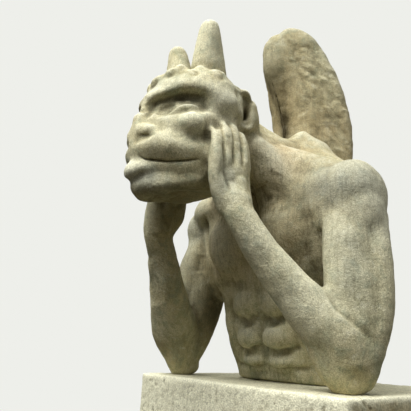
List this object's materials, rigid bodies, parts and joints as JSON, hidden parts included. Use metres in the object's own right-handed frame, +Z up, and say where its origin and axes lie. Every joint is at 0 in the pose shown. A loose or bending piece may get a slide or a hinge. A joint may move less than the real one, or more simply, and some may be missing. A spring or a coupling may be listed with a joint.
{
  "type": "stone gargoyle",
  "caption": "Winged and horned stone grotesque leaning on its elbows with its head in its hands, carved as one stone on a low parapet block.",
  "frame": {"origin": "centre of the block's flat underside", "axes": "+Z up; the figure looks along -Y and its own left side is +X"},
  "size_m": [0.56, 0.6135, 0.9484],
  "materials": {
    "figure_stone": "weathered tooled limestone with lichen and dark recesses",
    "block_stone": "weathered granular limestone, sawn faces with worn edges"
  },
  "bodies": {
    "root": {"gargoyle_figure": "figure_stone", "parapet_block": "block_stone"}
  },
  "joints": []
}
